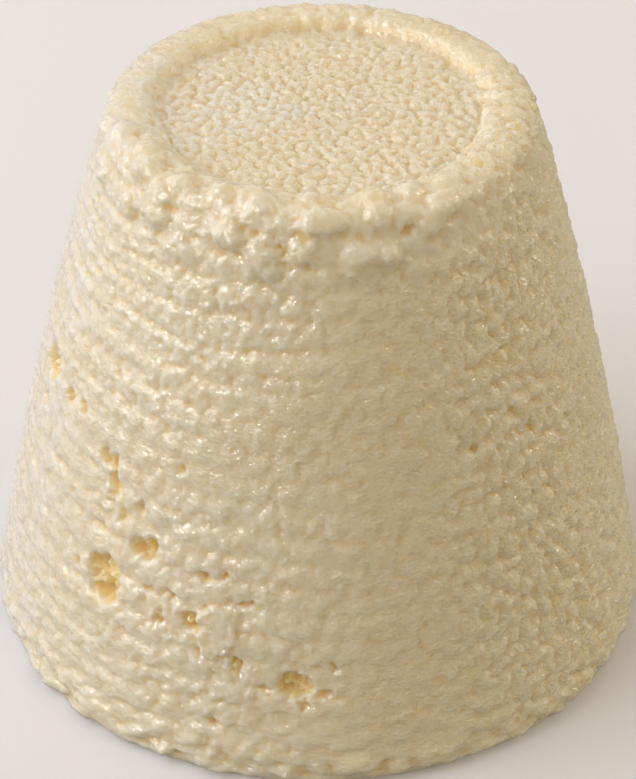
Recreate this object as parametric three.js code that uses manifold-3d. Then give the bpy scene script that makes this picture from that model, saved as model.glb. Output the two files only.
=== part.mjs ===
// A ricotta turned out of its draining basket: one soft cheese with a curd surface, a lumpy
// raised rim round a shallow round hollow on top, a gently swelling wall and a flat foot.
// Millimetres, +Z up, origin at the centre of the foot, front towards -Y, right towards +X.
import * as THREE from "three";
import Module from "manifold-3d";

// Driving sizes
const HEIGHT = 95.3; // foot to the crown of the rim
const FOOT_RADIUS = 56; // wall line carried down to the foot
const TOP_RADIUS = 33.6; // wall line carried up to the crown
const WALL_SWELL = 1.7; // swell of the wall over a straight cone, at half height
const FOOT_ROUNDING = 3.8;
const SHOULDER = 2.4; // rounding from the wall into the rim
const HOLLOW_RADIUS = 25.7;
const HOLLOW_DEPTH = 2.3;
const RIM_CREST = 29.6; // radius of the rim's highest line
const LEAN = 0.45; // how far the top stands to the right of the foot

// Grid of the turned body
const SEGMENTS = 76;
const HOLLOW_RINGS = 6;
const RIM_RINGS = 6;
const WALL_RINGS = 15;
const ROUNDING_RINGS = 3;
const FOOT_RINGS = 2;

// Relief of the body
const WAVE_LENGTH = 15; // soft dents and swells left by draining
const WAVE_HEIGHT = 0.3;
const WAVES = 14;
const RIM_SAG = 0.35; // the rim's crest rises and falls by this much

// Lumps of curd along the rim
const RIM_LUMPS = 37;
const RIM_LUMP_RADIUS = [2.8, 4.2];
const RIM_LUMP_PROUD = [0.4, 1.0]; // how far one stands out of the rim

// Curd grains on the wall, in rows as the basket pressed them
const ROW_PITCH = 4.6;
const GRAIN_RADIUS = [1.9, 2.7];
const GRAIN_PROUD = [0.5, 1.0];
const GRAIN_SHARE_ROUGH = 0.5; // share of places taken on the rough side
const GRAIN_SHARE_PRESSED = 0.04; // and on the pressed rest of the wall
const ROUGH_SIDE = { azimuth: -34, halfWidth: 40, from: 44, to: 90 };

// Holes where whey ran out: direction from the front in degrees, height, width, tallness, depth
const PITS = [
  { azimuth: -43.5, z: 28.3, width: 7.2, tall: 8.4, depth: 3.4 },
  { azimuth: -34.6, z: 36.9, width: 5.0, tall: 4.2, depth: 2.3 },
  { azimuth: -46.5, z: 48.6, width: 5.0, tall: 3.2, depth: 1.9 },
  { azimuth: -44.0, z: 44.6, width: 2.6, tall: 6.4, depth: 1.9 },
  { azimuth: -28.3, z: 52.1, width: 2.4, tall: 2.8, depth: 1.5 },
  { azimuth: -21.7, z: 36.4, width: 2.6, tall: 3.6, depth: 1.6 },
  { azimuth: -24.0, z: 27.3, width: 3.8, tall: 3.6, depth: 1.8 },
  { azimuth: -14.7, z: 21.1, width: 2.6, tall: 3.8, depth: 1.6 },
  { azimuth: -4.1, z: 19.0, width: 6.2, tall: 5.0, depth: 2.2 },
  { azimuth: -74.6, z: 53.2, width: 6.2, tall: 7.0, depth: 1.9 },
  { azimuth: -61.0, z: 52.8, width: 4.0, tall: 3.6, depth: 1.7 },
  { azimuth: 42.5, z: 57.7, width: 4.2, tall: 2.4, depth: 1.2 },
  { azimuth: 47.2, z: 53.8, width: 2.8, tall: 4.2, depth: 1.3 },
  { azimuth: 33.0, z: 54.9, width: 3.8, tall: 2.6, depth: 1.2 },
  { azimuth: 128.0, z: 61.0, width: 5.4, tall: 4.6, depth: 1.9 },
  { azimuth: 151.0, z: 24.0, width: 6.4, tall: 5.2, depth: 2.4 },
  { azimuth: 172.0, z: 46.0, width: 3.8, tall: 3.4, depth: 1.6 },
  { azimuth: 209.0, z: 33.0, width: 5.0, tall: 5.8, depth: 2.1 },
  { azimuth: 236.0, z: 66.0, width: 4.2, tall: 3.2, depth: 1.6 },
];
// Gap in the rim where a fold of curd didn't close
const RIM_GAP = { azimuth: -69, radius: 32.2, z: 93.6, size: [2.2, 3.0, 1.9] };

const COLOUR = 0xf0e6cc;

// One seeded source of chance, so that every build is the same
function chance(seed) {
  let state = seed >>> 0;
  return () => {
    state = (Math.imul(state, 1664525) + 1013904223) >>> 0;
    return state / 4294967296;
  };
}

function between([low, high], share) {
  return low + (high - low) * share;
}

function radians(degrees) {
  return (degrees * Math.PI) / 180;
}

// Outer line of the wall: a cone with an even swell
function wallRadius(z) {
  const t = z / HEIGHT;
  return FOOT_RADIUS + (TOP_RADIUS - FOOT_RADIUS) * t + WALL_SWELL * 4 * t * (1 - t);
}

// Half outline from the middle of the hollow, over the rim and down the wall to the foot's middle
function outline() {
  const floor = HEIGHT - HOLLOW_DEPTH;
  const shoulderZ = HEIGHT - SHOULDER;
  const shoulderX = wallRadius(shoulderZ);
  const at = (x, z) => new THREE.Vector2(x, z);
  const points = [];
  const add = (curve, rings) => points.push(...curve.getPoints(rings).slice(points.length ? 1 : 0));
  add(new THREE.LineCurve(at(0, floor), at(HOLLOW_RADIUS - 1.2, floor)), HOLLOW_RINGS);
  const inside = at(HOLLOW_RADIUS + 0.3, floor);
  const lip = at(HOLLOW_RADIUS + 0.4, HEIGHT);
  add(new THREE.CubicBezierCurve(points.at(-1), inside, lip, at(RIM_CREST, HEIGHT)), RIM_RINGS);
  const shoulder = at(shoulderX - 0.2, HEIGHT);
  add(new THREE.QuadraticBezierCurve(points.at(-1), shoulder, at(shoulderX, shoulderZ)), ROUNDING_RINGS);
  for (let i = 1; i <= WALL_RINGS; i++) {
    const z = shoulderZ + (FOOT_ROUNDING - shoulderZ) * (i / WALL_RINGS);
    points.push(at(wallRadius(z), z));
  }
  const edge = at(wallRadius(0), 0);
  const foot = at(FOOT_RADIUS - FOOT_ROUNDING, 0);
  add(new THREE.QuadraticBezierCurve(points.at(-1), edge, foot), ROUNDING_RINGS);
  add(new THREE.LineCurve(foot, at(0, 0)), FOOT_RINGS);
  return points;
}

// Soft unevenness: a few plane waves with seeded directions, between -1 and 1 or so
function makeWaves() {
  const draw = chance(11);
  const waves = [];
  for (let i = 0; i < WAVES; i++) {
    const direction = new THREE.Vector3(draw() - 0.5, draw() - 0.5, draw() - 0.5).normalize();
    const length = WAVE_LENGTH * (0.6 + 0.9 * draw());
    waves.push({ step: direction.multiplyScalar((2 * Math.PI) / length), phase: 2 * Math.PI * draw() });
  }
  return (p) => waves.reduce((sum, w) => sum + Math.sin(w.step.dot(p) + w.phase), 0) / Math.sqrt(WAVES);
}

// How far the body swells out at a place, fading to nothing at the foot
function makeRelief() {
  const waves = makeWaves();
  return (p, azimuth) => {
    const aboveFoot = THREE.MathUtils.smoothstep(p.z, 0.5, FOOT_ROUNDING + 3);
    const onRim = THREE.MathUtils.smoothstep(p.z, HEIGHT - HOLLOW_DEPTH, HEIGHT - 0.5);
    const sag = RIM_SAG * (Math.sin(2 * azimuth + 0.7) + 0.6 * Math.sin(5 * azimuth + 2.1)) * onRim;
    return WAVE_HEIGHT * waves(p) * aboveFoot + sag;
  };
}

// The turned body as one closed grid of rings, each end closed at a single point
function bodyGeometry() {
  const points = outline();
  const relief = makeRelief();
  const rings = points.slice(1, -1);
  const position = [];
  const place = (point, azimuth, outX, outZ) => {
    const p = new THREE.Vector3(point.x * Math.sin(azimuth), -point.x * Math.cos(azimuth), point.y);
    const swell = relief(p, azimuth);
    p.x += outX * swell * Math.sin(azimuth) + (LEAN * p.z) / HEIGHT;
    p.y -= outX * swell * Math.cos(azimuth);
    p.z += outZ * swell;
    position.push(p.x, p.y, p.z);
  };
  place(points[0], 0, 0, 1);
  rings.forEach((point, i) => {
    const along = points[i + 2].clone().sub(points[i]).normalize();
    for (let j = 0; j < SEGMENTS; j++) {
      place(point, (2 * Math.PI * j) / SEGMENTS, -along.y, along.x);
    }
  });
  place(points.at(-1), 0, 0, 0);
  const last = position.length / 3 - 1;
  const index = [];
  const vertex = (i, j) => 1 + i * SEGMENTS + (j % SEGMENTS);
  for (let j = 0; j < SEGMENTS; j++) {
    index.push(0, vertex(0, j), vertex(0, j + 1));
    for (let i = 0; i < rings.length - 1; i++) {
      index.push(vertex(i, j), vertex(i + 1, j), vertex(i + 1, j + 1));
      index.push(vertex(i, j), vertex(i + 1, j + 1), vertex(i, j + 1));
    }
    index.push(last, vertex(rings.length - 1, j + 1), vertex(rings.length - 1, j));
  }
  return new THREE.BufferGeometry()
    .setAttribute("position", new THREE.BufferAttribute(new Float32Array(position), 3))
    .setIndex(index);
}

// A place on the wall, with the way that its surface faces
function onWall(azimuth, z) {
  const radius = wallRadius(z);
  const slope = (wallRadius(z - 1) - wallRadius(z + 1)) / 2;
  const out = new THREE.Vector3(Math.sin(azimuth), -Math.cos(azimuth), slope).normalize();
  const point = new THREE.Vector3(
    radius * Math.sin(azimuth) + (LEAN * z) / HEIGHT,
    -radius * Math.cos(azimuth),
    z,
  );
  return { point, out };
}

// A pit is a ball squeezed to its width, tallness and depth, half sunk in the wall
function pitGeometry({ azimuth, z, width, tall, depth }) {
  const { point, out } = onWall(radians(azimuth), z);
  const turn = new THREE.Matrix4().lookAt(out, new THREE.Vector3(), new THREE.Vector3(0, 0, 1));
  return new THREE.IcosahedronGeometry(1, 1)
    .scale(width / 2, tall / 2, depth)
    .applyMatrix4(turn)
    .translate(point.x, point.y, point.z);
}

function rimGapGeometry() {
  const azimuth = radians(RIM_GAP.azimuth);
  return new THREE.IcosahedronGeometry(1, 1)
    .scale(...RIM_GAP.size)
    .rotateZ(azimuth)
    .translate(RIM_GAP.radius * Math.sin(azimuth), -RIM_GAP.radius * Math.cos(azimuth), RIM_GAP.z);
}

// A lump of curd: a ball turned and squeezed a little, no two alike
function curdGeometry(radius, point, draw, detail) {
  const squeeze = () => radius * (0.86 + 0.28 * draw());
  return new THREE.IcosahedronGeometry(1, detail)
    .rotateX(6 * draw())
    .rotateZ(6 * draw())
    .scale(squeeze(), squeeze(), squeeze())
    .translate(point.x, point.y, point.z);
}

// Lumps along the rim, some on its crest and most over its outer shoulder
function rimLumps() {
  const draw = chance(29);
  const lumps = [];
  for (let i = 0; i < RIM_LUMPS; i++) {
    const azimuth = (2 * Math.PI * (i + 0.5 * (draw() - 0.5))) / RIM_LUMPS;
    const radius = between(RIM_LUMP_RADIUS, draw());
    const proud = between(RIM_LUMP_PROUD, draw());
    const onCrest = i % 3 === 0;
    const z = HEIGHT - radius + (onCrest ? proud : proud - 0.5);
    const out = onCrest ? RIM_CREST + 1.2 : wallRadius(z) - radius + proud - 0.2;
    const point = new THREE.Vector3(out * Math.sin(azimuth) + LEAN, -out * Math.cos(azimuth), z);
    lumps.push(curdGeometry(radius, point, draw, 1));
  }
  return lumps;
}

// Grains in rows round the wall: many on the rough side, a few everywhere else
function wallGrains() {
  const draw = chance(47);
  const grains = [];
  for (let z = 8; z < HEIGHT - 5; z += ROW_PITCH) {
    const places = Math.round((2 * Math.PI * wallRadius(z)) / ROW_PITCH);
    for (let j = 0; j < places; j++) {
      const azimuth = (2 * Math.PI * (j + 0.6 * draw())) / places;
      const height = z + 1.6 * (draw() - 0.5);
      const radius = between(GRAIN_RADIUS, draw());
      const sunk = radius - between(GRAIN_PROUD, draw());
      const side = Math.abs(THREE.MathUtils.euclideanModulo(
        THREE.MathUtils.radToDeg(azimuth) - ROUGH_SIDE.azimuth + 180, 360) - 180);
      const rough = side < ROUGH_SIDE.halfWidth && height > ROUGH_SIDE.from && height < ROUGH_SIDE.to;
      if (draw() > (rough ? GRAIN_SHARE_ROUGH : GRAIN_SHARE_PRESSED)) continue;
      const { point, out } = onWall(azimuth, height);
      grains.push(curdGeometry(radius, point.addScaledVector(out, -sunk), draw, 0));
    }
  }
  return grains;
}

const wasm = await Module();
wasm.setup();

// three.js geometry to a solid: equal corners become one, so that the surface is closed
function solidOf(geometry) {
  const corners = geometry.getAttribute("position");
  const order = geometry.index ? geometry.index.array : Array.from({ length: corners.count }, (_, i) => i);
  const known = new Map();
  const vertProperties = [];
  const triVerts = Array.from(order, (i) => {
    const corner = [corners.getX(i), corners.getY(i), corners.getZ(i)];
    const key = corner.map((value) => value.toFixed(3)).join(" ");
    if (!known.has(key)) {
      known.set(key, known.size);
      vertProperties.push(...corner);
    }
    return known.get(key);
  });
  return new wasm.Manifold(
    new wasm.Mesh({
      numProp: 3,
      vertProperties: new Float32Array(vertProperties),
      triVerts: new Uint32Array(triVerts),
    }),
  );
}

// The cheese: body and curd joined, pits cut, and any loose crumb dropped
function cheeseSolid() {
  const curd = [...rimLumps(), ...wallGrains()].map(solidOf);
  const pits = [...PITS.map(pitGeometry), rimGapGeometry()].map(solidOf);
  const whole = wasm.Manifold.union([solidOf(bodyGeometry()), ...curd])
    .subtract(wasm.Manifold.union(pits))
    .simplify(0.08);
  return whole.decompose().sort((a, b) => b.volume() - a.volume())[0];
}

function cheeseMesh() {
  const { numProp, vertProperties, triVerts } = cheeseSolid().getMesh();
  const corners = new THREE.InterleavedBuffer(vertProperties, numProp);
  const geometry = new THREE.BufferGeometry()
    .setAttribute("position", new THREE.InterleavedBufferAttribute(corners, 3, 0))
    .setIndex(new THREE.BufferAttribute(triVerts, 1));
  const curd = new THREE.MeshStandardMaterial({
    color: COLOUR,
    roughness: 0.5,
    metalness: 0,
    flatShading: true,
  });
  const mesh = new THREE.Mesh(geometry, curd);
  mesh.name = "ricotta";
  return mesh;
}

const group = new THREE.Group();
group.name = "ricotta_cheese";
group.add(cheeseMesh());

export default group;
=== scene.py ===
import functools
import math

import bpy
import numpy as np
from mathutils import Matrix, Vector


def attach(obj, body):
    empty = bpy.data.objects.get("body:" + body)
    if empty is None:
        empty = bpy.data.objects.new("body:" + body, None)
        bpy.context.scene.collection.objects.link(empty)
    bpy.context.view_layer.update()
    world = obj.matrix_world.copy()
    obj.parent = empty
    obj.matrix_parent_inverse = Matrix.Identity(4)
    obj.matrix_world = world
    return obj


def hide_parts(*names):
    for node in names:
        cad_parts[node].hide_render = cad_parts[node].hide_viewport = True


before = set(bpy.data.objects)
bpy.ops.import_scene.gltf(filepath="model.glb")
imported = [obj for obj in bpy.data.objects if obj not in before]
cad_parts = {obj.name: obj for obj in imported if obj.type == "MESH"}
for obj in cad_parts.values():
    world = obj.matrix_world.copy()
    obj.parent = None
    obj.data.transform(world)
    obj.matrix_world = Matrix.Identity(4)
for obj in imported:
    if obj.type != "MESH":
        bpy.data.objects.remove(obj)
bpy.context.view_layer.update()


# ---------------------------------------------------------------- the cheese
# One fresh ricotta, drained in a basket and turned out onto its wide end.
# Soft grains of curd hold together in one body: loose and round on one side,
# pressed flat by the basket elsewhere, with pits where the whey ran out.

MM = 0.001               # in metres
HEIGHT = 95.3            # in millimetres, as are the sizes below
FOOT_RADIUS = 56.0
TOP_RADIUS = 33.6
WALL_SWELL = 1.7
FOOT_ROUNDING = 3.8
SHOULDER = 2.4
HOLLOW_RADIUS = 25.7
HOLLOW_DEPTH = 2.3
HOLLOW_ROUNDING = 1.2
RIM_CREST = 29.6
LEAN = 0.45              # how far the top stands to the right of the foot
GROOVE_RADIUS = 25.1     # a fine line round the hollow, and the ridge beside it
RIDGE_RADIUS = 25.75
RIB_PITCH = 2.35         # of the basket's fine ribs
OUTLINE_CORNERS = 2400

# Holes where whey ran out: direction from the front in degrees, height,
# width, tallness, depth, and the turn of the longer side
PITS = [
    (-43.5, 28.3, 7.4, 8.8, 3.6, 0),
    (-34.6, 36.9, 5.4, 4.6, 2.5, 20),
    (-46.5, 48.6, 5.4, 3.4, 2.0, 0),
    (-44.0, 44.6, 2.8, 6.8, 2.0, 0),
    (-28.3, 52.1, 2.4, 2.8, 1.5, 0),
    (-21.7, 36.4, 2.6, 3.6, 1.7, 0),
    (-28.4, 30.9, 2.7, 2.5, 1.4, 0),
    (-33.1, 30.3, 3.6, 1.6, 1.1, 0),
    (-24.0, 27.3, 3.8, 3.6, 1.9, 0),
    (-50.6, 28.3, 2.6, 2.2, 1.3, 0),
    (-45.4, 36.8, 2.2, 1.8, 1.2, 0),
    (-13.8, 32.6, 5.6, 1.6, 1.1, -12),
    (-14.7, 21.1, 2.6, 3.8, 1.7, 0),
    (-4.1, 19.0, 6.2, 5.0, 2.4, 0),
    (-2.5, 15.5, 2.6, 2.6, 1.5, 0),
    (-19.1, 10.4, 2.9, 1.6, 1.2, 0),
    (2.7, 22.5, 1.6, 2.2, 1.1, 0),
    (12.0, 25.8, 1.4, 1.8, 1.1, 0),
    (19.2, 27.7, 2.1, 1.4, 1.0, 0),
    (-74.6, 53.2, 7.6, 6.8, 3.0, 0),
    (-74.8, 46.9, 5.2, 2.8, 2.4, 0),
    (-63.0, 52.6, 3.8, 3.0, 2.4, 0),
    (-56.5, 53.2, 2.6, 3.8, 2.2, 0),
    (-61.9, 41.3, 2.7, 1.8, 1.2, 0),
    (42.5, 57.7, 4.0, 1.8, 1.2, 10),
    (47.2, 53.8, 2.4, 4.0, 1.3, 0),
    (29.6, 58.0, 1.5, 1.7, 1.0, 0),
    (33.0, 54.9, 3.4, 2.4, 1.3, 0),
    (27.9, 50.7, 2.6, 1.3, 0.9, 0),
    (-9.4, 89.7, 2.3, 3.0, 1.6, 0),
    (22.0, 92.0, 3.3, 1.6, 1.3, 0),
    (-17.3, 92.0, 1.8, 1.5, 1.1, 0),
    (-36.5, 43.6, 1.8, 3.4, 1.2, 25),
    (-40.6, 40.6, 2.2, 2.6, 1.3, 0),
    (-18.4, 36.6, 4.6, 1.3, 1.1, 14),
    (-30.2, 26.8, 2.0, 4.2, 1.3, -20),
    (-21.6, 22.0, 1.4, 4.6, 1.1, -12),
    (-9.6, 17.4, 4.0, 1.4, 1.1, -15),
    (0.8, 17.2, 3.0, 1.5, 1.1, 10),
    (128.0, 61.0, 5.4, 4.6, 2.0, 0),
    (151.0, 24.0, 6.4, 5.2, 2.5, 0),
    (172.0, 46.0, 3.8, 3.4, 1.7, 0),
    (209.0, 33.0, 5.0, 5.8, 2.2, 0),
    (236.0, 66.0, 4.2, 3.2, 1.7, 0),
]

# Lines that the basket left: from and to in degrees, the two heights, width, depth
CREASES = [
    (-20, 16, 74.0, 77.5, 0.7, 0.35),
    (-14, 4, 70.5, 70.0, 0.6, 0.3),
    (8, 24, 13.0, 15.0, 0.6, 0.3),
    (-4, 22, 60.0, 62.5, 0.5, 0.2),
    (-60, -30, 72.0, 71.0, 0.6, 0.3),
    (60, 105, 70.0, 72.5, 0.6, 0.3),
    (150, 185, 68.0, 66.5, 0.6, 0.3),
]

# A flake of pressed curd: direction in degrees, height, width and tallness
FLAKE = (-18.7, 26.6, 6.9, 9.4)


def wall_radius(z):
    t = z / HEIGHT
    return FOOT_RADIUS + (TOP_RADIUS - FOOT_RADIUS) * t + WALL_SWELL * 4 * t * (1 - t)


def bezier(points, share):
    points = [np.array(p, float) for p in points]
    while len(points) > 1:
        points = [a + (b - a) * share for a, b in zip(points, points[1:])]
    return points[0]


def half_outline():
    """Half outline in mm from the middle of the hollow down to the foot's middle,
    with how closely the skin's corners lie on each stretch."""
    floor = HEIGHT - HOLLOW_DEPTH
    shoulder_z = HEIGHT - SHOULDER
    shoulder_x = wall_radius(shoulder_z)
    edge_x = HOLLOW_RADIUS - HOLLOW_ROUNDING
    foot_x = FOOT_RADIUS - FOOT_ROUNDING
    line = []

    def stretch(curve, steps, close):
        for i in range(steps):
            line.append((*curve(i / steps), close))

    stretch(lambda s: (edge_x * s, floor), 200, 1.2)
    rim = [(edge_x, floor), (HOLLOW_RADIUS + 0.3, floor),
           (HOLLOW_RADIUS + 0.4, HEIGHT), (RIM_CREST, HEIGHT)]
    stretch(lambda s: bezier(rim, s), 120, 1.3)
    shoulder = [(RIM_CREST, HEIGHT), (shoulder_x - 0.2, HEIGHT), (shoulder_x, shoulder_z)]
    stretch(lambda s: bezier(shoulder, s), 80, 1.3)

    def wall(s):
        z = shoulder_z + (FOOT_ROUNDING - shoulder_z) * s
        return wall_radius(z), z

    stretch(wall, 600, 1.0)
    corner = [wall(1), (wall_radius(0), 0), (foot_x, 0)]
    stretch(lambda s: bezier(corner, s), 80, 0.9)
    stretch(lambda s: (foot_x * (1 - s), 0), 200, 0.05)
    line.append((0, 0, 0.05))
    return np.array(line)


def even_outline(count):
    """The same outline at steps of equal share of the skin, in metres."""
    line = half_outline()
    r, z, close = line.T
    length = np.hypot(np.diff(r), np.diff(z))
    share = (r[1:] + r[:-1]) / 2 * length * close[1:]
    share = np.concatenate([[0], np.cumsum(share)])
    share /= share[-1]
    at = np.linspace(0, 1, count)
    out, up = np.interp(at, share, r), np.interp(at, share, z)
    return np.stack([out, np.zeros(count), up], 1) * MM


class Field:
    """A value that changes over the surface. Sums and products of fields are nodes."""

    def __init__(self, tree, socket):
        self.tree = tree
        self.socket = socket

    def math(self, operation, *others, clamp=False):
        step = self.tree.nodes.new("ShaderNodeMath")
        step.operation = operation
        step.use_clamp = clamp
        for place, value in zip(step.inputs, (self, *others)):
            feed(self.tree, place, value)
        return Field(self.tree, step.outputs[0])

    def __add__(self, other): return self.math("ADD", other)
    def __sub__(self, other): return self.math("SUBTRACT", other)
    def __rsub__(self, other): return (self * -1) + other
    def __mul__(self, other): return self.math("MULTIPLY", other)
    def __truediv__(self, other): return self.math("DIVIDE", other)
    def max(self, other): return self.math("MAXIMUM", other)
    def min(self, other): return self.math("MINIMUM", other)
    def power(self, other): return self.math("POWER", other)
    def root(self): return self.max(0.0).math("SQRT")
    def sine(self): return self.math("SINE")
    def size(self): return self.math("ABSOLUTE")

    def ramp(self, low, high):
        """0 below low, 1 above high, and smooth between them; low may be the larger."""
        step = self.tree.nodes.new("ShaderNodeMapRange")
        step.interpolation_type = "SMOOTHSTEP"
        feed(self.tree, step.inputs["Value"], self)
        feed(self.tree, step.inputs["From Min"], low)
        feed(self.tree, step.inputs["From Max"], high)
        return Field(self.tree, step.outputs["Result"])

    def mix(self, none, full):
        """none where this field is 0, full where it is 1."""
        return self * (full - none) + none


def highest(fields):
    """The largest of these fields at each place."""
    return functools.reduce(Field.max, fields)


def feed(tree, place, value):
    if isinstance(value, Field):
        tree.links.new(value.socket, place)
    elif value is not None:
        place.default_value = value


def add(tree, kind, inputs=(), output=0, **settings):
    """A node with these settings and inputs, as the field of one of its outputs."""
    step = tree.nodes.new(kind)
    for name, value in settings.items():
        setattr(step, name, value)
    for name, value in dict(inputs).items():
        feed(tree, step.inputs[name], value)
    return Field(tree, step.outputs[output])


def vector(tree, operation, a, b=None, scale=None):
    step = tree.nodes.new("ShaderNodeVectorMath")
    step.operation = operation
    for place, value in zip((0, 1, 3), (a, b, scale)):
        feed(tree, step.inputs[place], value)
    is_number = operation in ("LENGTH", "DISTANCE", "DOT_PRODUCT")
    return Field(tree, step.outputs["Value" if is_number else "Vector"])


def parts(tree, place):
    step = tree.nodes.new("ShaderNodeSeparateXYZ")
    feed(tree, step.inputs[0], place)
    return [Field(tree, s) for s in step.outputs]


def cloud(tree, place, size, detail, shift=(0, 0, 0), output=0):
    """Soft noise from 0 to 1 with features of this size; output 1 is a vector of three."""
    at = vector(tree, "ADD", vector(tree, "SCALE", place, scale=1 / size), shift)
    noise = {"Vector": at, "Scale": 1.0, "Detail": detail}
    return add(tree, "ShaderNodeTexNoise", noise, output=output)


def warp(tree, place, size, amount, shift=(0, 0, 0)):
    """The place pushed about softly, by up to half this amount each way."""
    noise = cloud(tree, place, size, 1.0, shift, output=1)
    push = vector(tree, "SUBTRACT", noise, (0.5, 0.5, 0.5))
    return vector(tree, "ADD", place, vector(tree, "SCALE", push, scale=amount))


def band(value, start, full, last, end):
    """1 from full to last, 0 before start and after end."""
    return value.ramp(start, full) * value.ramp(end, last)


def zones(tree, place):
    """Where on the cheese a place is: degrees round from the front, height, distance from
    the axis, and shares for the hollow, the rim, and loose, pressed or scaly curd."""
    x, y, z = parts(tree, place)
    x = x - z * (LEAN / HEIGHT)
    turn = x.math("ARCTAN2", y * -1.0) * (180 / math.pi)
    radius = (x * x + y * y).root()
    top = z.ramp(HEIGHT - 4.0, HEIGHT - 2.4)
    hollow = radius.ramp(HOLLOW_RADIUS + 0.2, HOLLOW_RADIUS - 1.4) * top
    rim = radius.ramp(HOLLOW_RADIUS - 0.2, HOLLOW_RADIUS + 2.2) * z.ramp(HEIGHT - 8.0, HEIGHT - 2.0)
    shoulder = radius.ramp(HOLLOW_RADIUS + 1.4, RIM_CREST - 0.4)
    shoulder = shoulder * z.ramp(HEIGHT - 12.0, HEIGHT - 6.0)
    lumpy = shoulder * band(turn, -96.0, -74.0, 30.0, 66.0)
    foot = z.ramp(0.0, 1.6)
    patches = cloud(tree, place, 24.0, 1.0, (3, 1, 7))
    edge = (z - 58.0) * 0.9 - 17.0 + (patches - 0.5) * 30.0
    upper = (turn - edge).ramp(14.0, -20.0) * z.ramp(40.0, 60.0) * turn.ramp(-105.0, -62.0)
    lower = band(turn, -100.0, -62.0, -16.0, 14.0) * z.ramp(62.0, 44.0)
    behind = turn.size().ramp(95.0, 125.0) * patches.ramp(0.42, 0.6)
    scaly = band(turn, 8.0, 46.0, 100.0, 130.0)
    left = band(turn, -150.0, -115.0, -70.0, -46.0)
    return {
        "z": z, "turn": turn, "radius": radius,
        "top": top, "hollow": hollow, "rim": rim, "lumpy": lumpy, "foot": foot,
        "upper": upper * (1.0 - hollow), "lower": lower, "behind": behind, "left": left,
        "scaly": scaly * (1.0 - hollow) * (1.0 - lumpy),
    }


WALL_SLANT = 1.03        # length along the wall for each millimetre of height


def pit_field(tree, place, pits):
    """How deep the pits are at a place, in mm: steep above and to the right, soft below."""
    torn = warp(tree, warp(tree, place, 3.0, 1.8, (9, 2, 4)), 1.2, 0.8, (1, 7, 7))
    x, y, z = parts(tree, torn)
    turn = (x - z * (LEAN / HEIGHT)).math("ARCTAN2", y * -1.0)
    depths = []
    for azimuth, height, width, tall, deep, lean in pits:
        away = (turn - math.radians(azimuth)).math("WRAP", math.pi, -math.pi) * wall_radius(height)
        up = (z - height) * WALL_SLANT
        c, s = math.cos(math.radians(lean)), math.sin(math.radians(lean))
        across = (away * c + up * s) * (2 / width)
        along = (up * c - away * s) * (2 / tall)
        out = (across * across + along * along).root()
        steep = (across * 0.5 + along * 0.5).ramp(-0.7, 0.3).mix(0.15, 0.6)
        depths.append(out.ramp(1.22, steep) * deep)
    return highest(depths)


def crease_field(tree, zone, creases):
    """How deep the lines that the basket left are at a place, in mm."""
    depths = []
    for start, end, low, high, wide, deep in creases:
        share = (zone["turn"] - start) * (1 / (end - start))
        away = (zone["z"] - share * share * (high - low) - low).size()
        depths.append(away.ramp(wide, 0.0) * band(share, 0.0, 0.15, 0.8, 1.0) * deep)
    return highest(depths)


BED_SUBDIVISIONS = 7     # of the ball that grains are strewn on
SKIN_SUBDIVISIONS = 2    # more of them for the skin itself
CAVITY_REACH = 24        # steps over the skin's corners


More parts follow.
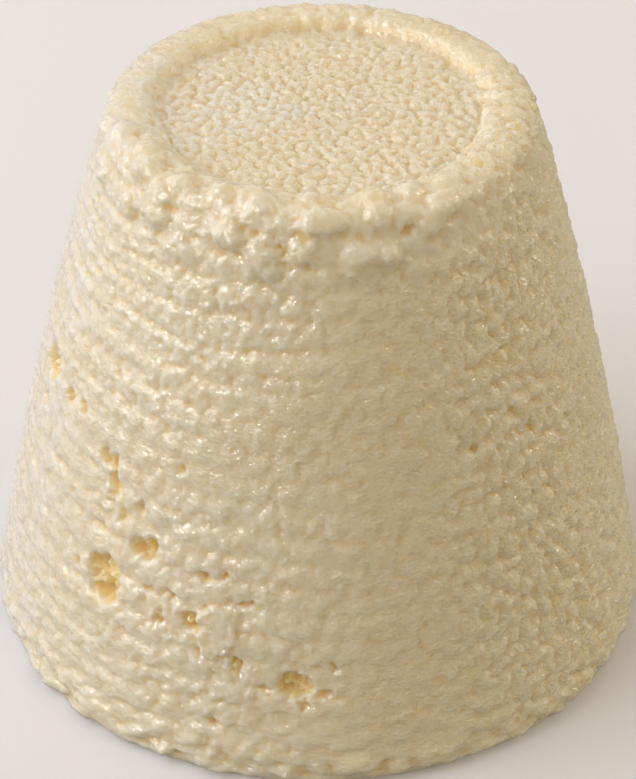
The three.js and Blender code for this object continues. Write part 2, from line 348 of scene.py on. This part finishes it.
def curd_skin_tree(pits, creases, flake):
    """Geometry nodes: a ball laid onto the half outline, then raised into curd by sets of
    round grains that are strewn over it, large ones first."""
    tree = bpy.data.node_groups.new("curd_skin", "GeometryNodeTree")
    sockets = [
        ("Rim Lump Radius", 4.1), ("Large Grain Radius", 2.3), ("Small Grain Radius", 1.1),
        ("Row Pitch", 4.7), ("Flake Radius", 1.9), ("Flake Relief", 0.72),
        ("Unevenness", 0.45), ("Outline Corners", 0.0),
    ]
    tree.interface.new_socket("Geometry", in_out="INPUT", socket_type="NodeSocketGeometry")
    for name, value in sockets:
        socket = tree.interface.new_socket(name, in_out="INPUT", socket_type="NodeSocketFloat")
        socket.default_value = value
    tree.interface.new_socket("Seed", in_out="INPUT", socket_type="NodeSocketInt").default_value = 7
    tree.interface.new_socket("Material", in_out="INPUT", socket_type="NodeSocketMaterial")
    tree.interface.new_socket("Geometry", in_out="OUTPUT", socket_type="NodeSocketGeometry")
    given = tree.nodes.new("NodeGroupInput")
    given = {s.name: Field(tree, s) for s in given.outputs if s.name}

    direction = vector(tree, "NORMALIZE", add(tree, "GeometryNodeInputPosition"))
    dx, dy, dz = parts(tree, direction)
    corner = ((1.0 - dz) * 0.5).max(0.0).min(1.0) * given["Outline Corners"]
    lower = corner.math("FLOOR").min(given["Outline Corners"] - 1.0)

    def outline_at(number):
        line_place = add(tree, "GeometryNodeInputPosition")
        return add(tree, "GeometryNodeSampleIndex", {
            "Geometry": given["Geometry"], 1: line_place, "Index": number,
        }, data_type="FLOAT_VECTOR", domain="POINT")

    low, high = outline_at(lower), outline_at(lower + 1.0)
    on_line = vector(tree, "ADD", low, vector(
        tree, "SCALE", vector(tree, "SUBTRACT", high, low), scale=corner - lower))
    out, _, up = parts(tree, on_line)
    flat = (dx * dx + dy * dy).root().max(1e-9)
    turned = add(tree, "ShaderNodeCombineXYZ", {
        0: dx / flat * out + up * (LEAN / HEIGHT), 1: dy / flat * out, 2: up})
    ball = add(tree, "GeometryNodeMeshIcoSphere", {
        "Radius": 1.0, "Subdivisions": BED_SUBDIVISIONS})
    bed = add(tree, "GeometryNodeSetPosition", {"Geometry": ball, "Position": turned})
    ball = add(tree, "GeometryNodeSubdivideMesh", {"Mesh": ball, "Level": SKIN_SUBDIVISIONS})
    skin = add(tree, "GeometryNodeSetPosition", {"Geometry": ball, "Position": turned})

    here = add(tree, "GeometryNodeInputPosition")
    here_mm = vector(tree, "SCALE", here, scale=1 / MM)

    def keep(skin, name, value, kind="FLOAT"):
        return add(tree, "GeometryNodeStoreNamedAttribute", {
            "Geometry": skin, "Name": name, "Value": value}, data_type=kind, domain="POINT")

    def kept(name, kind="FLOAT"):
        return add(tree, "GeometryNodeInputNamedAttribute", {"Name": name}, data_type=kind)

    def raise_by(skin, millimetres, own_way=1.0):
        """Move the skin out: own_way 1 along its own normal, 0 along the plain body's."""
        own = vector(tree, "SCALE", add(tree, "GeometryNodeInputNormal"), scale=own_way)
        plain = vector(tree, "SCALE", kept("outward", "FLOAT_VECTOR"), scale=1.0 - own_way)
        way = vector(tree, "NORMALIZE", vector(tree, "ADD", own, plain))
        push = vector(tree, "SCALE", way, scale=millimetres * MM)
        return add(tree, "GeometryNodeSetPosition", {"Geometry": skin, "Offset": push})

    def strew(bed, radius, share, seed, crowd=1.0):
        """Grain middles on the bed, no nearer to each other than a grain is wide."""
        return add(tree, "GeometryNodeDistributePointsOnFaces", {
            "Mesh": bed, "Distance Min": radius * (2 * MM / crowd),
            "Density Max": (radius * MM).power(-2.0) * 1.5,
            "Density Factor": share, "Seed": given["Seed"] + seed}, distribute_method="POISSON")

    def of_nearest(points, value, kind):
        near = add(tree, "GeometryNodeSampleNearest", {
            "Geometry": points, "Sample Position": here}, domain="POINT")
        return add(tree, "GeometryNodeSampleIndex", {
            "Geometry": points, 1: value, "Index": near}, data_type=kind, domain="POINT")

    def own_radius(points, radius, spread, seed):
        if not spread:
            return radius
        chance = add(tree, "FunctionNodeRandomValue", {"Seed": seed}, output=1, data_type="FLOAT")
        return of_nearest(points, chance, "FLOAT").mix(1.0 - spread, 1.0) * radius

    def rise(points, radius, sunk, spread=0.0, seed=0):
        """Height in mm of round grains above the skin."""
        away = vector(tree, "DISTANCE", here, of_nearest(points, here, "FLOAT_VECTOR")) * (1 / MM)
        own = own_radius(points, radius, spread, seed)
        return (own * own - away * away).root() - own * sunk

    def lean(points, radius, uphill, spread, seed):
        """Height, with 1 at the rim, of round flakes that stand out on their uphill side."""
        offset = vector(tree, "SUBTRACT", here, of_nearest(points, here, "FLOAT_VECTOR"))
        own = own_radius(points, radius, spread, seed) * MM
        away = vector(tree, "LENGTH", offset) / own
        slope = vector(tree, "DOT_PRODUCT", offset, uphill) / own
        return (slope + away.ramp(0.75, 0.96) * 0.35 + 0.9) * away.ramp(1.0, 0.93) - 0.9

    def neighbourhood(times):
        """The mean place of the skin round each corner."""
        return add(tree, "GeometryNodeBlurAttribute", {
            0: here, "Iterations": times}, data_type="FLOAT_VECTOR")

    def soften(skin, times):
        """Round off the joints between the grains."""
        return add(tree, "GeometryNodeSetPosition", {
            "Geometry": skin, "Position": neighbourhood(times)})

    def fuse(first, second, soft):
        return first.math("SMOOTH_MAX", second, soft)

    bed = keep(bed, "place", here_mm, "FLOAT_VECTOR")
    skin = keep(skin, "place", here_mm, "FLOAT_VECTOR")
    skin = keep(skin, "outward", add(tree, "GeometryNodeInputNormal"), "FLOAT_VECTOR")
    place = kept("place", "FLOAT_VECTOR")
    zone = zones(tree, place)
    for name in ("hollow", "rim", "foot", "scaly", "lumpy", "upper", "lower", "behind", "left"):
        skin = keep(skin, name, zone[name])
        bed = keep(bed, name, zone[name])
        zone[name] = kept(name)

    # Soft dents and bulges of the whole body, and the lumps that hang over the rim
    uneven = (cloud(tree, place, 16.0, 1.5) - 0.5) * given["Unevenness"] * 2.0 * zone["foot"]
    on_rim = zone["lumpy"].ramp(0.4, 0.7)
    lump = given["Rim Lump Radius"]
    lumps = rise(strew(bed, lump, on_rim, 1), lump, 0.5, 0.3, 1)
    less = lump * 0.75
    lumps = fuse(lumps, rise(strew(bed, less, on_rim, 2), less, 0.4, 0.3, 2), 0.6)
    crumbs = (cloud(tree, place, 3.2, 2.0, (8, 1, 1)) - 0.5) * band(zone["z"], 0.6, 2.0, 3.0, 8.0)
    lumps = fuse(lumps, -0.5, 0.8)
    wobble = (cloud(tree, place, 9.0, 2.0, (6, 6, 6)) - 0.5) * 1.2
    ring = zone["radius"] + wobble
    behind_rim = zone["turn"].size().ramp(75.0, 135.0)
    cove = band(ring, 24.9, 26.2, 26.5, 28.2) * zone["top"] * behind_rim
    body = uneven + (lumps + 0.5) * zone["lumpy"] * 0.8 + crumbs * 5.0 - cove * 0.9
    skin = raise_by(skin, body)

    # Large grains in rows, as they settled against the basket's ribs
    loose = zone["upper"].max(zone["lower"] * 0.8).max(zone["behind"] * 0.8)
    loose = loose.max(zone["lumpy"] * 0.6)
    large = given["Large Grain Radius"]
    row = (zone["z"] + cloud(tree, place, 30.0, 1.0) * 8.0) / given["Row Pitch"]
    off_row = row.math("ROUND") - row
    step = off_row * given["Row Pitch"] * 0.7
    rows = add(tree, "GeometryNodeSetPosition", {
        "Geometry": strew(bed, large, 1.0, 3, 1.3),
        "Offset": add(tree, "ShaderNodeCombineXYZ", {2: step * MM})})
    grains = rise(rows, large, 1.0)
    medium = large * 0.6
    grains = fuse(grains, rise(strew(bed, medium, 1.0, 4, 1.25), medium, 1.0) - 0.35, 0.15)
    grains = fuse(grains - off_row.size().ramp(0.30, 0.5) * 0.5, -1.5, 0.3)
    skin = keep(skin, "grains", grains)
    pressed = kept("grains").math("SMOOTH_MIN", loose.mix(-0.6, 0.55), 0.4) + 0.5
    share = loose.mix(0.20, 0.45) * zone["foot"] * (1.0 - zone["hollow"])

    # A flat flake that stands out at its edge
    azimuth, height, width, tall = flake
    fx = (zone["turn"] - azimuth) * (math.pi / 180 * wall_radius(height) * 2 / width)
    fz = (zone["z"] - height) * (2 / tall)
    flake_out = (fx * fx + fz * fz).root()
    flake_out = flake_out + (cloud(tree, place, 3.0, 1.0, (4, 4, 4)) - 0.5) * 0.5
    on_flake = flake_out.ramp(1.02, 0.94)
    flake_rise = on_flake * (flake_out.ramp(0.7, 0.98).mix(0.5, 0.9))
    share = share * (1.0 - on_flake * 0.9)

    # Flakes where the basket pressed the curd, each standing out on its right and lower side
    angle = zone["turn"] * (math.pi / 180)
    uphill = add(tree, "ShaderNodeCombineXYZ", {
        0: angle.math("COSINE") * 0.9, 1: angle.sine() * 0.9, 2: -0.45})
    flat_curd = zone["scaly"].max((1.0 - loose) * 0.35) * (1.0 - zone["hollow"])
    wide = given["Flake Radius"]
    layers = []
    for part, seed in ((1.0, 11), (0.85, 12), (0.7, 13), (0.55, 14)):
        own = wide * part
        layers.append(lean(strew(bed, own, 1.0, seed), own, uphill, 0.3, seed))
    flakes = highest(layers)
    level = flat_curd * zone["foot"] * (1.0 - on_flake)

    # Lines and ribs that the basket left, and a fine line with a ridge round the hollow
    def round_line(radius, width):
        near = (ring - radius).size().ramp(width, 0.0)
        return near * zone["top"] * (1.0 - behind_rim) * 0.25

    lines = crease_field(tree, zone, creases).max(round_line(GROOVE_RADIUS, 0.45))
    skin = keep(skin, "crease", lines)
    waver = cloud(tree, place, 12.0, 1.0, (5, 3, 8)) * 9.0
    ribs = (zone["z"] * (2 * math.pi / RIB_PITCH) + waver).sine()
    ribs = ribs * (zone["left"] * 0.16 + zone["upper"] * 0.05)
    ribs = ribs * (1.0 - zone["lower"] * 0.7) * zone["foot"]
    ridge = round_line(RIDGE_RADIUS, 0.5)
    skin = raise_by(skin, pressed * share + flakes * level * given["Flake Relief"]
                    + flake_rise + ridge + ribs - kept("crease"), 0.6)
    skin = soften(skin, 2)

    # Small grains on the large ones, in the hollow and on the rim; pits follow their outlines
    small = given["Small Grain Radius"]
    first = strew(skin, small, 1.0, 6, 1.2)
    depth = pit_field(tree, place, pits) * kept("grains").ramp(-0.1, -1.2).mix(0.45, 1.0)
    smaller = small * 0.7
    second = strew(skin, smaller, 1.0, 7, 1.2)
    whole = of_nearest(keep(second, "sunk", depth), kept("sunk"), "FLOAT")
    skin = keep(skin, "pit", depth * whole.ramp(0.2, 0.5))
    in_pit = kept("pit").ramp(0.1, 0.8)
    tiny = rise(second, smaller, 0.7)
    fine = fuse(rise(first, small, 0.7), tiny, 0.1)
    fine = in_pit.mix(fine, tiny * 1.5)
    level = loose.mix(0.10, 0.62).max(zone["hollow"] * 1.1).max(zone["rim"] * 0.4)
    level = level.max(zone["left"] * 0.35).max(in_pit * 1.2) * zone["foot"]
    skin = keep(skin, "fine", fuse(fine, -0.4, 0.15) * level)
    skin = raise_by(skin, kept("fine"))
    skin = raise_by(skin, kept("pit") * -1.0, 0.0)
    skin = soften(skin, 2)

    # The foot stands flat, and how deep each place lies among its neighbours is kept
    x, y, z = parts(tree, here)
    above = add(tree, "ShaderNodeCombineXYZ", {0: x, 1: y, 2: z.max(0.0)})
    skin = add(tree, "GeometryNodeSetPosition", {"Geometry": skin, "Position": above})
    inward = vector(tree, "SUBTRACT", neighbourhood(CAVITY_REACH), here)
    cavity = vector(tree, "DOT_PRODUCT", inward, add(tree, "GeometryNodeInputNormal"))
    skin = keep(skin, "cavity", cavity * (1 / MM))

    # What the colours need: worn outlines for flakes, drifts of tone, and painted shade for cracks
    # in pressed curd
    skin = keep(skin, "torn", warp(tree, here_mm, 2.0, 0.5), "FLOAT_VECTOR")
    skin = keep(skin, "drift", cloud(tree, here_mm, 5.0, 2.0).ramp(0.3, 0.7))
    # Cracks are painted only, as golden shade in the gaps between grains of pressed curd
    crack_shade_patches = cloud(tree, here_mm, 5.0, 1.0, (2, 9, 5)).ramp(0.46, 0.62)
    crack_shade_patches = crack_shade_patches * (1.0 - loose) * (1.0 - zone["left"])
    skin = keep(skin, "painted_crack_shade", kept("grains").ramp(-1.0, -1.5) * crack_shade_patches * (1.0 - zone["hollow"]))

    skin = add(tree, "GeometryNodeSetShadeSmooth", {"Geometry": skin, "Shade Smooth": True})
    skin = add(tree, "GeometryNodeRealizeInstances", {"Geometry": skin})
    skin = add(tree, "GeometryNodeSetMaterial", {"Geometry": skin, "Material": given["Material"]})
    result = tree.nodes.new("NodeGroupOutput")
    tree.links.new(skin.socket, result.inputs[0])
    return tree


def blend_colours(tree, share, first, second):
    step = tree.nodes.new("ShaderNodeMix")
    step.data_type = "RGBA"
    feed(tree, step.inputs["Factor"], share)
    feed(tree, step.inputs[6], first)
    feed(tree, step.inputs[7], second)
    return Field(tree, step.outputs[2])


# Colours of the curd, its own and with painted light and shade: white for the lit left side, a
# highlight for flake lips, golden shade for crevices and pits; and how wet it is
IVORY = (0.945, 0.825, 0.595, 1)
WHITE_FOR_LIT_SIDE_AND_LOOSE_CURD = (0.955, 0.90, 0.81, 1)
CREAM_TONE_AND_HOLLOW_SHADE = (0.92, 0.80, 0.57, 1)
LIP_HIGHLIGHT = (1.0, 0.90, 0.70, 1)
CREVICE_SHADE_GOLD = (0.92, 0.75, 0.41, 1)
PIT_SHADE_GOLD = (0.95, 0.74, 0.37, 1)
MOIST_SURFACE = {
    "Roughness": 0.45,
    "Specular IOR Level": 0.15,
    "Subsurface Weight": 0.85,
    "Subsurface Radius": (1.0, 0.92, 0.80),
    "Subsurface Scale": 0.0027,
    "Coat Weight": 0.6,
    "Coat Roughness": 0.13,
}


def curd_material():
    """Moist curd: ivory on the grains, painted whiter on the lit left side, with painted golden
    shade in the crevices and pits and a painted highlight on flake lips, wet on the skin.
    """
    material = bpy.data.materials.new("moist_curd")
    material.use_nodes = True
    tree = material.node_tree
    shader = tree.nodes["Principled BSDF"]

    def kept(name, output="Fac"):
        return add(tree, "ShaderNodeAttribute", attribute_name=name, output=output)

    here = vector(tree, "SCALE", add(tree, "ShaderNodeTexCoord", output="Object"), scale=1 / MM)
    loose = kept("upper").max(kept("lower")).max(kept("behind")).max(kept("lumpy"))
    wet = loose.max(kept("hollow") * 0.8)
    cavity = kept("cavity")
    # Beads on loose curd, and thin round flakes, each with a fine lip, on pressed curd
    bead = add(tree, "ShaderNodeTexVoronoi", {"Vector": here, "Scale": 0.95}, output="Distance")
    beads = (0.45 - bead * bead).max(0.0)
    x, y, _ = parts(tree, here)
    round_way = (x * x + y * y).root()
    lip_side = add(tree, "ShaderNodeCombineXYZ", {
        0: y / round_way * -0.9, 1: x / round_way * 0.9, 2: -0.45})
    flakes = None
    torn = kept("torn", "Vector")
    for size, shift in ((1.5, 3.0), (1.1, 17.0)):
        at = vector(tree, "ADD", torn, (shift, shift, shift))
        cell = {"Vector": at, "Scale": 0.62 / size}
        middle = add(tree, "ShaderNodeTexVoronoi", cell, output="Position")
        offset = vector(tree, "SUBTRACT", at, middle)
        away = vector(tree, "LENGTH", offset) * (1 / size)
        slope = vector(tree, "DOT_PRODUCT", offset, lip_side) * (1 / size)
        one = (slope * 0.6 + away.ramp(0.62, 0.88) * 0.25 + 0.6) * away.ramp(1.0, 0.88)
        # A painted highlight: a thin bright line where each flake's lip faces right and down
        line = band(away, 0.70, 0.82, 0.90, 0.98) * slope.ramp(-0.1, 0.5)
        if flakes is None:
            flakes, lip_highlight = one, line
        else:
            lip_highlight = one.math("GREATER_THAN", flakes).mix(lip_highlight, line)
            flakes = flakes.max(one)
    scaly = kept("scaly") * (1.0 - wet)
    wrinkles = cloud(tree, vector(tree, "MULTIPLY", here, (1.0, 1.0, 1.4)), 0.8, 1.0)
    height = beads * wet.mix(0.04, 0.18) + flakes * scaly * 0.17
    height = height + wrinkles * kept("hollow").max(1.0 - wet).mix(0.12, 0.42)
    relief = add(tree, "ShaderNodeBump", {
        "Height": height, "Distance": MM, "Strength": 1.0}, output="Normal")

    # Painted shade: golden in hollows, pits, creases, cracks and between flakes, standing in for
    # the warm shade of light passing through the curd
    crevice_shade = (cavity.ramp(0.05, 0.30) * 0.9).max(kept("pit") * 0.8).max(kept("crease"))
    crevice_shade = crevice_shade.max(flakes.ramp(0.25, 0.0) * scaly * 0.6).min(1.0)
    crevice_shade = crevice_shade.max(kept("painted_crack_shade") * 0.8)
    # Painted light: whiter on the lit left side; loose curd and the hollow are also whiter in their
    # own right
    lit_side_and_loose_whitening = kept("left").max(wet * 0.4)
    # Cream in random drifts of tone, and as painted shade where the skin lies in a hollow
    drift_and_hollow_shade = kept("drift") * 0.6 + cavity.ramp(-0.2, 0.1) * 0.4
    curd = blend_colours(tree, lit_side_and_loose_whitening, IVORY, WHITE_FOR_LIT_SIDE_AND_LOOSE_CURD)
    curd = blend_colours(tree, drift_and_hollow_shade, curd, CREAM_TONE_AND_HOLLOW_SHADE)
    # Painted highlight on the lips of the flakes
    curd = blend_colours(tree, lip_highlight * scaly, curd, LIP_HIGHLIGHT)
    shade_gold = blend_colours(tree, kept("pit").ramp(0.0, 0.6), CREVICE_SHADE_GOLD, PIT_SHADE_GOLD)
    colour = blend_colours(tree, crevice_shade, curd, shade_gold)
    tree.links.new(colour.socket, shader.inputs["Base Color"])
    tree.links.new(relief.socket, shader.inputs["Normal"])

    # The wet film has small waves of its own
    speck = add(tree, "ShaderNodeTexVoronoi", {"Vector": here, "Scale": 2.1}, output="Distance")
    specks = (0.45 - speck * speck).max(0.0)
    film = add(tree, "ShaderNodeBump", {
        "Height": specks * 0.14, "Distance": MM, "Strength": 1.0,
        "Normal": relief}, output="Normal")
    tree.links.new(film.socket, shader.inputs["Coat Normal"])
    for name, value in MOIST_SURFACE.items():
        shader.inputs[name].default_value = value
    return material


def placed(name, data):
    body = bpy.data.objects.new(name, data)
    bpy.context.scene.collection.objects.link(body)
    return body


corners = even_outline(OUTLINE_CORNERS)
edges = [(i, i + 1) for i in range(len(corners) - 1)]
outline_mesh = bpy.data.meshes.new("outline")
outline_mesh.from_pydata([Vector(c) for c in corners], edges, [])
maker = placed("ricotta_maker", outline_mesh)
curd_skin = maker.modifiers.new("curd_skin", "NODES")
curd_skin.node_group = curd_skin_tree(PITS, CREASES, FLAKE)
items = curd_skin.node_group.interface.items_tree
sockets = {s.name: s.identifier for s in items if s.in_out == "INPUT"}
curd_skin[sockets["Outline Corners"]] = float(len(corners) - 1)
curd_skin[sockets["Material"]] = curd_material()

# Thinned in steps, because one step stops early at the sharp joints between the grains
MOST_TRIANGLES = 196000
FIRST_SHARE = 0.19
MARGIN = 0.98
MOST_STEPS = 6


def triangles(mesh):
    return len(mesh.loops) - 2 * len(mesh.polygons)


def thinned(maker, share):
    """A plain mesh of the maker with about this share of its faces; the maker is removed."""
    maker.modifiers.new("thin_out", "DECIMATE").ratio = share
    seen = maker.evaluated_get(bpy.context.evaluated_depsgraph_get())
    mesh = bpy.data.meshes.new_from_object(seen)
    bpy.data.objects.remove(maker)
    return mesh


cheese_mesh = thinned(maker, FIRST_SHARE)
for _ in range(MOST_STEPS):
    if triangles(cheese_mesh) <= MOST_TRIANGLES:
        break
    share = MARGIN * MOST_TRIANGLES / triangles(cheese_mesh)
    cheese_mesh = thinned(placed("ricotta_maker", cheese_mesh), share)
cheese_mesh.name = "ricotta"
ricotta = placed("ricotta_skin", cheese_mesh)
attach(ricotta, "root")
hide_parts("ricotta")


# ------------------------------------------------------- floor, light, camera
# A wide sheet of pale paper, a large cool lamp on the left, a small warm one on
# the right, warm light from all round, and a camera that looks down from the front.

FLOOR_SIZE = 6.0
PAPER_WHITE = (0.92, 0.94, 0.98, 1)

floor_mesh = bpy.data.meshes.new("floor")
h = FLOOR_SIZE / 2
floor_mesh.from_pydata([(-h, -h, 0), (h, -h, 0), (h, h, 0), (-h, h, 0)], [], [(0, 1, 2, 3)])
floor = placed("floor", floor_mesh)
paper = bpy.data.materials.new("pale_floor")
paper.use_nodes = True
matt = paper.node_tree.nodes["Principled BSDF"]
matt.inputs["Base Color"].default_value = PAPER_WHITE
matt.inputs["Roughness"].default_value = 0.9
floor_mesh.materials.append(paper)
floor.visible_diffuse = False


LAMP_DISTANCE = 1.2
LAMP_AIM = Vector((0, 0, 0.045))


def lamp(name, azimuth, elevation, size, power, colour):
    """A round lamp aimed at the cheese; its direction is in degrees from the front."""
    data = bpy.data.lights.new(name, "AREA")
    data.shape = "DISK"
    data.size = size
    data.energy = power
    data.color = colour
    body = placed(name, data)
    a, e = math.radians(azimuth), math.radians(elevation)
    way = Vector((math.sin(a) * math.cos(e), -math.cos(a) * math.cos(e), math.sin(e)))
    body.location = way * LAMP_DISTANCE
    body.rotation_euler = (LAMP_AIM - body.location).to_track_quat("-Z", "Y").to_euler()
    return body


lamp("key", -86, 38, size=1.7, power=11.6, colour=(0.87, 0.86, 0.98))
lamp("right", 105, 25, size=0.6, power=1.8, colour=(1.0, 0.80, 0.62))

# Two small lights that only shine back from wet curd
glints = [
    lamp("sparkle", -62, 34, size=0.26, power=14.0, colour=(1.0, 0.97, 0.90)),
    lamp("edge_sparkle", 95, 30, size=0.26, power=5.0, colour=(1.0, 0.95, 0.86)),
]
for glint in glints:
    glint.visible_diffuse = False
    glint.visible_volume_scatter = False

# Light from all round above the floor, warmer than the key
WARM_LIGHT = (1.0, 0.885, 0.70, 1)
world = bpy.data.worlds.new("room")
bpy.context.scene.world = world
world.use_nodes = True
sky = world.node_tree
background = sky.nodes["Background"]
background.inputs["Color"].default_value = WARM_LIGHT
_, _, height = parts(sky, add(sky, "ShaderNodeTexCoord", output="Generated"))
around = band(height, 0.1, 0.4, 0.55, 0.85) * 1.25
feed(sky, background.inputs["Strength"], around + height.ramp(0.0, -0.1) * 0.16)
bpy.context.scene.view_settings.view_transform = "Standard"

CAMERA_ELEVATION = math.radians(35.98)
CAMERA_DISTANCE = 0.4956
CAMERA_TARGET = Vector((0, 0, 0.0391))
IMAGE_HEIGHT = 779
FOCAL_PIXELS = 2934.3
SENSOR_WIDTH = 36.0
camera_data = bpy.data.cameras.new("camera")
camera_data.sensor_width = SENSOR_WIDTH
camera_data.lens = FOCAL_PIXELS / IMAGE_HEIGHT * SENSOR_WIDTH
camera = placed("camera", camera_data)
way = Vector((0, -math.cos(CAMERA_ELEVATION), math.sin(CAMERA_ELEVATION)))
camera.location = CAMERA_TARGET + CAMERA_DISTANCE * way
camera.rotation_euler = (math.pi / 2 - CAMERA_ELEVATION, 0, 0)
bpy.context.scene.camera = camera
